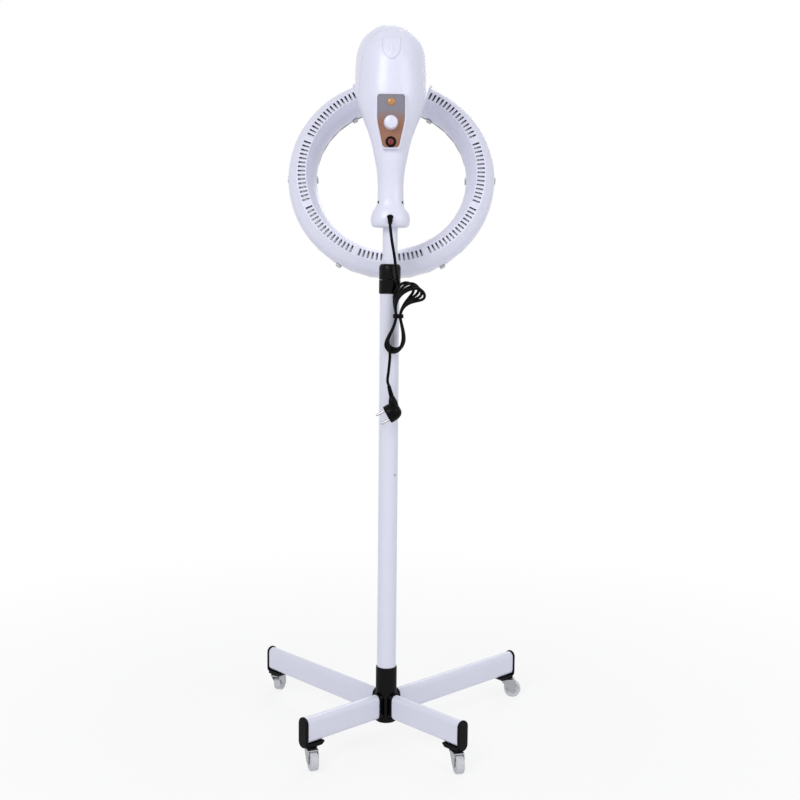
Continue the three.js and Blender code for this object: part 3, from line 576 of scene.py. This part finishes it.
def panel_outline(inset):
    top, low = PANEL_TOP_HALF - inset, PANEL_LOW_HALF - inset * 0.8
    high, deep = PANEL_TOP - inset, PANEL_BOTTOM + inset
    corners = [(top, PANEL_KNEE), (top, high), (-top, high), (-top, PANEL_KNEE), (-low, deep), (low, deep)]
    return rounded(corners, PANEL_CORNER, 8)


def towards_operator(height=0):
    return Matrix.Translation((0, 0, height)) @ UPRIGHT


RIM_LOOPS = [(-1.6, RIM_DEPTH), (-1.6, RIM_ROUND), (-0.6, 0), (0.5, 0), (1.4, RIM_ROUND), (1.4, RIM_DEPTH)]
rim_points = [(x, y, RIM - drop) for inset, drop in RIM_LOOPS for x, y in panel_outline(inset)]
rim_faces = rings_to_faces(len(RIM_LOOPS), len(panel_outline(0)), False, True)
piece("panel rim", rim_points, rim_faces, "head", ["panel_rim"], "shell_plastic", towards_operator())
extruded("film plate", panel_outline(1.7), FACE - 3, FACE, "head", ["control_panel"], "panel_film",
         towards_operator(), 0.3)
print("panel rim faces", len(rim_faces))

# %% [markdown]
# ## Knob, button and lamp
# The timer knob, a round push button in its bezel and an amber lamp stand on the film plate.
# All are turned, and only the knob's pointer is extruded.

# %% Knob, button and lamp
KNOB_Z, KNOB_R, BUTTON_Z, LAMP_Z = 1214.5, 13.4, 1179.3, 1253
KNOB_FRONT = FACE + 15.3
BUTTON_R, BUTTON_HOLE_R = 5.75, 5.85
LAMP_R, LAMP_BASE, LAMP_RISE = 7, FACE + 0.9, 2.6

knob_profile = [
    (0, FACE - 8), (3, FACE - 8), (3, FACE + GAP), (KNOB_R, FACE + GAP), (KNOB_R, FACE + 2.2),
    (KNOB_R - 0.5, FACE + 2.8), (KNOB_R - 1.2, KNOB_FRONT - 2.4), (KNOB_R - 1.8, KNOB_FRONT - 0.9),
    (KNOB_R - 3.2, KNOB_FRONT), (0, KNOB_FRONT),
]
turned("timer knob", knob_profile, "knob", ["timer_knob"], "shell_plastic", towards_operator(KNOB_Z), 64)
pointer = rounded([(-1.5, 1), (1.5, 1), (1.5, KNOB_R - 3), (-1.5, KNOB_R - 3)], 1.2)
extruded("knob pointer", pointer, KNOB_FRONT - 2, KNOB_FRONT + 1.2, "knob", [], "shell_plastic",
         towards_operator(KNOB_Z), 0.4)
bezel_profile = [
    (BUTTON_HOLE_R, FACE - 14), (BUTTON_HOLE_R, FACE + 2.2), (6.6, FACE + 3), (9, FACE + 3), (10, FACE + 2),
    (10, FACE + GAP), (8, FACE + GAP), (8, FACE - 22), (BUTTON_HOLE_R, FACE - 22),
]
turned("button bezel", bezel_profile, "head", ["switch_body"], "black_plastic", towards_operator(BUTTON_Z), 48,
       ring=True)
button_profile = [
    (0, FACE - 10), (BUTTON_R, FACE - 10), (BUTTON_R, FACE + 3.8), (5.2, FACE + 4.4), (4, FACE + 4.6),
    (0, FACE + 4.3),
]
turned("push button", button_profile, "button", ["power_button"], "red_plastic", towards_operator(BUTTON_Z), 48)
lamp_profile = [(0, FACE - 9), (6, FACE - 9), (6, FACE + GAP), (7.6, FACE + GAP), (7.6, LAMP_BASE)]
for a in range(0, 91, 15):
    rise = math.sin(math.radians(a))
    lamp_profile.append((LAMP_R * math.cos(math.radians(a)), LAMP_BASE + LAMP_RISE * rise))
turned("lamp lens", lamp_profile, "head", ["indicator_lens"], "amber_lens", towards_operator(LAMP_Z), 48)
print("knob, button and lamp made")

# %% [markdown]
# ## Poles and clamp collar
# Two tubes, one sliding in the other, and a black collar in two halves where they meet.
# The collar's upper half is the clamp nut, so it is a piece of its own.

# %% Poles and collar
LOWER_R, UPPER_R, COLLAR_R, TUBE_WALL = 19, 14.4, 21, 1.6
COLLAR_BASE = [(19.3, 895), (20.2, 895), (COLLAR_R, 896), (COLLAR_R, 920.6), (20.2, 921.7), (19.3, 921.7)]
COLLAR_NUT = [(15, 922), (20.2, 922), (COLLAR_R, 923), (COLLAR_R, 946), (20.4, 948), (18.2, 951.4),
              (17.4, 952), (15, 952)]
POLE_SCREW = [(0, -1), (2.6, -1), (2.6, 0.6), (1.8, 1.2), (0, 1.2)]


def tube(name, radius, low, high, body, node):
    inside = radius - TUBE_WALL
    profile = [(inside, low), (radius, low), (radius, high), (inside, high)]
    turned(name, profile, body, [node], "painted_tube", ring=True)


tube("lower tube", LOWER_R, 50, 914, "stand", "lower_pole")
tube("upper tube", UPPER_R, 482, 1074, "column", "upper_pole")
turned("collar base", COLLAR_BASE, "stand", ["clamp_base"], "black_plastic", ring=True)
turned("collar nut", COLLAR_NUT, "nut", ["clamp_nut"], "black_plastic", ring=True)
screw_place = facing((12.9, -13.7, 542), (0.69, -0.73, 0))
turned("pole screw", POLE_SCREW, "stand", [], "steel", screw_place, 24)
print("poles made")

# %% [markdown]
# ## The cross base
# A black hub holds four flat-oval legs, two short and two long, each with a black cap over its end.
# The legs share one outline and differ in reach and direction, so one loop makes them all.
# Each entry of LEGS gives the leg's direction, its reach and its caster's heading.

# %% Base
BASE_TURN, LEG_MIDDLE_Z, SOCKET = -1.5, 74, 28
LEG_H, LEG_W, LEG_WALL = 50, 22, 2
CAP_DEPTH, CAP_LOW, CAP_HIGH = 7, -33, 27
BOSS_LENGTH, BOSS_HALF, BOSS_TOP, BOSS_TOE = 46, 11, -25.3, -28.3
LEGS = {
    "short_left": (-135, 215, -70),
    "short_right": (-45, 215, -75),
    "long_left": (135, 381, 70),
    "long_right": (45, 381, 0),
}
HUB = [(0, 41), (20, 41), (21, 42), (21, 151.5), (20.2, 153), (19.4, 153), (19.4, 60), (0, 60)]
ALONG_X = Matrix(((0, 0, 1, 0), (1, 0, 0, 0), (0, 1, 0, 0), (0, 0, 0, 1)))


def leg_turn(angle):
    return Matrix.Rotation(math.radians(angle + BASE_TURN), 4, "Z")


def leg_matrix(angle):
    return leg_turn(angle) @ Matrix.Translation((0, 0, LEG_MIDDLE_Z))


turned("hub sleeve", HUB, "stand", ["base_hub"], "black_plastic")
outer, inner = oval(LEG_W, LEG_H), oval(LEG_W - 2 * LEG_WALL, LEG_H - 2 * LEG_WALL)
cap_lift = Matrix.Translation((0, 0, (CAP_LOW + CAP_HIGH) / 2))
for name, (angle, reach, _) in LEGS.items():
    matrix = leg_matrix(angle)
    begin, end = SOCKET + GAP, reach - CAP_DEPTH
    extruded(f"hub socket {name}", oval(LEG_W + 4, LEG_H + 6), 12, SOCKET, "stand", [], "black_plastic",
             matrix @ ALONG_X, 1.2)
    leg_points = [(x, y, h) for h in (begin, end) for x, y in outer]
    leg_points += [(x, y, h) for h in (end, begin) for x, y in inner]
    piece(f"leg {name}", leg_points, rings_to_faces(4, len(outer), False, True), "stand", [f"leg_{name}"],
          "painted_tube", matrix @ ALONG_X)
    extruded(f"leg cap {name}", oval(LEG_W + 3, CAP_HIGH - CAP_LOW), end + GAP, reach, "stand",
             [f"cap_{name}"], "black_plastic", matrix @ cap_lift @ ALONG_X, 2.5)
    back, front = reach - BOSS_LENGTH, end + 2
    boss = [(back, BOSS_TOP), (back, BOSS_TOE), (back + 6, CAP_LOW), (front, CAP_LOW), (front, BOSS_TOP)]
    extruded(f"caster boss {name}", rounded(boss, 0.8), -BOSS_HALF, BOSS_HALF, "stand", [], "black_plastic",
             matrix @ UPRIGHT, 0.8)
print("base made with", len(LEGS), "legs")

# %% [markdown]
# ## The casters
# Each fork swivels about a stem under the leg's end, and its wheel trails behind the stem.
# The fork is a turned plate with a crown and two cheeks. Wheel and axle are turned, and their profiles
# are the same on both sides, so only one side is written down.

# %% Casters
WHEEL_R, WHEEL_W, TRAIL, INSET = 18, 15, 17, 20
CROWN_LOW, CROWN_HIGH, CHEEK = 37, 40, 2.2
HALF_WHEEL = WHEEL_W / 2
HALF_FORK = HALF_WHEEL + 0.8
AXLE_END = HALF_FORK + 2.5
FORK_PLATE = [(0, CROWN_LOW), (12, CROWN_LOW), (13, 37.6), (13, 39.4), (12.4, CROWN_HIGH), (4, CROWN_HIGH),
              (4, 46), (0, 46)]
CROWN = [(-10, CROWN_LOW), (TRAIL + 5, CROWN_LOW), (TRAIL + 5, CROWN_HIGH), (-10, CROWN_HIGH)]
CHEEK_OUTLINE = rounded([(-9, 38), (TRAIL - 6, WHEEL_R - 5), (TRAIL + 6, WHEEL_R - 5), (TRAIL + 5, 38)], 5)


def both_sides(upper):
    return [(r, -h) for r, h in upper[::-1]] + upper


TREAD = both_sides([(WHEEL_R, HALF_WHEEL - 2), (17.6, HALF_WHEEL - 0.7), (16.4, HALF_WHEEL), (14, HALF_WHEEL),
                    (11, HALF_WHEEL - 3), (8, HALF_WHEEL), (3.1, HALF_WHEEL)])
AXLE = both_sides([(3, AXLE_END - 0.4), (2.6, AXLE_END), (0, AXLE_END)])
for name, (angle, reach, heading) in LEGS.items():
    body = f"caster_{name}"
    stem = leg_turn(angle) @ Vector((reach - INSET, 0, 0))
    caster = Matrix.Translation(stem) @ Matrix.Rotation(math.radians(heading), 4, "Z")
    turned(f"fork {name}", FORK_PLATE, body, [f"fork_{name}"], "steel", caster, 48)
    for side in (-1, 1):
        low = HALF_FORK if side > 0 else -HALF_FORK - CHEEK
        extruded(f"fork cheek {name} {side}", CHEEK_OUTLINE, low, low + CHEEK, body, [], "steel",
                 caster @ UPRIGHT, 0.5)
    extruded(f"fork crown {name}", CROWN, -HALF_FORK - CHEEK, HALF_FORK + CHEEK, body, [], "steel",
             caster @ UPRIGHT, 1)
    hub_of_wheel = caster @ Matrix.Translation((TRAIL, 0, WHEEL_R)) @ UPRIGHT
    turned(f"wheel {name}", TREAD, f"roll_{name}", [f"wheel_{name}"], "nylon", hub_of_wheel, 64, ring=True)
    turned(f"axle {name}", AXLE, body, [f"axle_{name}"], "steel", hub_of_wheel, 24)
print("casters made", len(LEGS))

# %% [markdown]
# ## The slotted ring
# The ring's back is a moulded channel with 105 radial slots in seven groups. A grid of faces runs round it:
# each slot is one column between two edge columns, and its face is left out of the crown's middle row.
# A Solidify modifier then gives the wall, and with it the slots' sides.

# %% Ring shell
RING_PLACE, RING_TILT = Vector((0, 155, 1128.3)), math.radians(17)
RING = Matrix.Translation(RING_PLACE) @ Matrix.Rotation(math.pi / 2 - RING_TILT, 4, "X")
SLOT_COLUMNS = 128
SLOT_PITCH, SLOT_LENGTH, SLOT_WIDTH, SLOT_R = 360 / SLOT_COLUMNS, 15, 4, 181.5
GROUP_PITCH, GROUPS_ASIDE, SLOTS_ASIDE = 16, 3, 7
RING_CREST, RING_WALL = 39, 2.7
OUTER_LINE = smooth_line([(208.5, -14), (211, 2), (206.5, 22), (191, RING_CREST)], 6)
INNER_LINE = smooth_line([(172, RING_CREST), (159, 22), (153, 2), (155.5, -14)], 6)
slot_edges = [(SLOT_R + SLOT_LENGTH / 2, RING_CREST), (SLOT_R - SLOT_LENGTH / 2, RING_CREST)]
ring_profile = [tuple(p) for p in OUTER_LINE] + slot_edges + [tuple(p) for p in INNER_LINE]
slot_row = len(OUTER_LINE)
slot_half = math.degrees(SLOT_WIDTH / 2 / SLOT_R)
slotted = {group * GROUP_PITCH + i for group in range(-GROUPS_ASIDE, GROUPS_ASIDE + 1)
           for i in range(-SLOTS_ASIDE, SLOTS_ASIDE + 1)}
angles, is_slot = [], []
for k in range(-SLOT_COLUMNS // 2, SLOT_COLUMNS // 2):
    middle = k * SLOT_PITCH - 90
    angles += [middle - SLOT_PITCH / 2, middle - slot_half, middle + slot_half]
    is_slot += [False, k in slotted, False]
columns = len(angles)
ring_points = []
for r, d in ring_profile:
    ring_points += [(r * math.cos(math.radians(a)), r * math.sin(math.radians(a)), d) for a in angles]
ring_faces = []
for i in range(len(ring_profile) - 1):
    for j in range(columns):
        if i == slot_row and is_slot[j]:
            continue
        here, above, n = i * columns, (i + 1) * columns, (j + 1) % columns
        ring_faces.append((here + j, here + n, above + n, above + j))
ring_shell = piece("slotted ring", ring_points, ring_faces, "ring", ["ring_rear_shell"], "shell_plastic", RING, 50)
first_face = ring_shell.data.polygons[0]
first_corner = ring_shell.data.vertices[first_face.vertices[0]].co
outwards = first_face.normal.dot(first_corner - place(RING_PLACE))
ring_wall = ring_shell.modifiers.new("moulded wall", "SOLIDIFY")
ring_wall.thickness = RING_WALL / 1000
ring_wall.offset = -1 if outwards > 0 else 1
print("slots", len(slotted), "faces", len(ring_faces))

# %% [markdown]
# ## Inside the ring
# Behind the guard a polished channel throws the heat of three curved quartz tubes at the client.
# The channel is turned, and each tube is a round section carried along an arc.

# %% Reflector, heaters and orbit hub
HEATER_R, HEATER_DEPTH, HEATER_RADIUS, HEATER_ARC = 182, 8, 5, 106
HEATER_STEPS, HEATER_SIDES = 60, 16
bowl = smooth_line([(200, -9), (202, 6), (192, 25), (171, 25), (162, 6), (164, -9)], 6)
bowl = [tuple(p) for p in bowl]
inside = [(r + (HEATER_R - r) * 0.05, h - 1.2) for r, h in bowl]
turned("reflector", bowl + inside[::-1], "ring", ["ring_reflector"], "reflector", RING, 128, 40, ring=True)
heater_faces = rings_to_faces(HEATER_STEPS + 1, HEATER_SIDES, True)
for n in range(3):
    first = -90 + n * 120 - HEATER_ARC / 2
    tube_points = []
    for i in range(HEATER_STEPS + 1):
        angle = math.radians(first + HEATER_ARC * i / HEATER_STEPS)
        for j in range(HEATER_SIDES):
            around = 2 * math.pi * j / HEATER_SIDES
            r = HEATER_R + HEATER_RADIUS * math.cos(around)
            depth = HEATER_DEPTH + HEATER_RADIUS * math.sin(around)
            tube_points.append((r * math.cos(angle), r * math.sin(angle), depth))
    piece(f"quartz tube {n + 1}", tube_points, heater_faces, "ring", [f"heater_tube_{n + 1}"], "quartz", RING)
ORBIT = Matrix.Translation((0, ORBIT_Y, ORBIT_Z)) @ Matrix.Rotation(-math.pi / 2 - ORBIT_PITCH, 4, "X")
ORBIT_HUB = [(6.1, 0.8), (37, 0.8), (38, 1.8), (38, 5.5), (37, 7), (35, 8), (6.1, 8)]
turned("orbit hub", ORBIT_HUB, "ring", ["orbit_hub"], "shell_plastic", ORBIT, 72, ring=True)
print("ring filled")

# %% [markdown]
# ## Light, floor and background
# A pale floor catches the shadow and turns white with the distance from the machine.
# Rays from the camera and mirror rays see a white world, so the background stays white without extra light.

# %% Floor
FLOOR_HALF = 30
SHADOW_NEAR, SHADOW_FAR, WHITE_SHARE = 0.5, 1.6, 0.8

floor_mesh = bpy.data.meshes.new("floor")
floor_corners = [(x * FLOOR_HALF, y * FLOOR_HALF, 0) for x, y in ((-1, -1), (1, -1), (1, 1), (-1, 1))]
floor_mesh.from_pydata(floor_corners, [], [(0, 1, 2, 3)])
floor = bpy.data.objects.new("floor", floor_mesh)
bpy.context.scene.collection.objects.link(floor)


def seen_directly(tree):
    path = tree.nodes.new("ShaderNodeLightPath")
    first = tree.nodes.new("ShaderNodeMath")
    first.operation = "MAXIMUM"
    second = tree.nodes.new("ShaderNodeMath")
    second.operation = "MAXIMUM"
    tree.links.new(path.outputs["Is Camera Ray"], first.inputs[0])
    tree.links.new(path.outputs["Is Glossy Ray"], first.inputs[1])
    tree.links.new(first.outputs[0], second.inputs[0])
    tree.links.new(path.outputs["Is Transmission Ray"], second.inputs[1])
    return second.outputs[0]


def floor_paint():
    material = grained("pale floor", (0.86, 0.86, 0.86), 0.8, grain=40, vary=0.01, bump=0.0)
    tree = material.node_tree
    shader = tree.nodes["Principled BSDF"]
    glow = tree.nodes.new("ShaderNodeEmission")
    where = tree.nodes.new("ShaderNodeTexCoord")
    far = tree.nodes.new("ShaderNodeVectorMath")
    far.operation = "LENGTH"
    tree.links.new(where.outputs["Object"], far.inputs[0])
    white = tree.nodes.new("ShaderNodeMapRange")
    white.inputs["From Min"].default_value = SHADOW_NEAR
    white.inputs["From Max"].default_value = SHADOW_FAR
    white.inputs["To Min"].default_value = WHITE_SHARE
    white.inputs["To Max"].default_value = 1
    tree.links.new(far.outputs["Value"], white.inputs["Value"])
    share = tree.nodes.new("ShaderNodeMath")
    share.operation = "MULTIPLY"
    tree.links.new(white.outputs["Result"], share.inputs[1])
    mix = tree.nodes.new("ShaderNodeMixShader")
    tree.links.new(seen_directly(tree), share.inputs[0])
    tree.links.new(share.outputs[0], mix.inputs["Fac"])
    tree.links.new(shader.outputs["BSDF"], mix.inputs[1])
    tree.links.new(glow.outputs["Emission"], mix.inputs[2])
    tree.links.new(mix.outputs["Shader"], tree.nodes["Material Output"].inputs["Surface"])
    return material


floor_mesh.materials.append(floor_paint())
print("floor made")

# %% [markdown]
# ## Sky and lamps
# A pale sky and three large soft lamps light the machine: a key and a fill on the operator's side,
# and a weaker one on the client's side.

# %% Sky and lamps
SKY_STRENGTH = 0.5
LAMP_AIM = (0, 0, 900)

world = bpy.data.worlds.new("studio")
bpy.context.scene.world = world
world.use_nodes = True
tree = world.node_tree
sky = tree.nodes["Background"]
sky.inputs["Color"].default_value = (0.93, 0.95, 1, 1)
sky.inputs["Strength"].default_value = SKY_STRENGTH
white = tree.nodes.new("ShaderNodeBackground")
white.inputs["Strength"].default_value = 1
white.inputs["Color"].default_value = (1, 1, 1, 1)
mix = tree.nodes.new("ShaderNodeMixShader")
tree.links.new(seen_directly(tree), mix.inputs["Fac"])
tree.links.new(sky.outputs["Background"], mix.inputs[1])
tree.links.new(white.outputs["Background"], mix.inputs[2])
tree.links.new(mix.outputs["Shader"], tree.nodes["World Output"].inputs["Surface"])


def soft_lamp(name, where, power, size):
    data = bpy.data.lights.new(name, "AREA")
    data.energy = power
    data.size = size
    lamp = bpy.data.objects.new(name, data)
    lamp.location = place(where)
    lamp.rotation_euler = (place(LAMP_AIM) - lamp.location).to_track_quat("-Z", "Y").to_euler()
    bpy.context.scene.collection.objects.link(lamp)


soft_lamp("key lamp", (-1500, -2600, 2600), 48, 1.6)
soft_lamp("fill lamp", (2200, -1800, 1800), 20, 1.8)
soft_lamp("back lamp", (600, 2400, 2400), 18, 1.6)
bpy.context.scene.view_settings.view_transform = "Standard"
print("lamps ready")
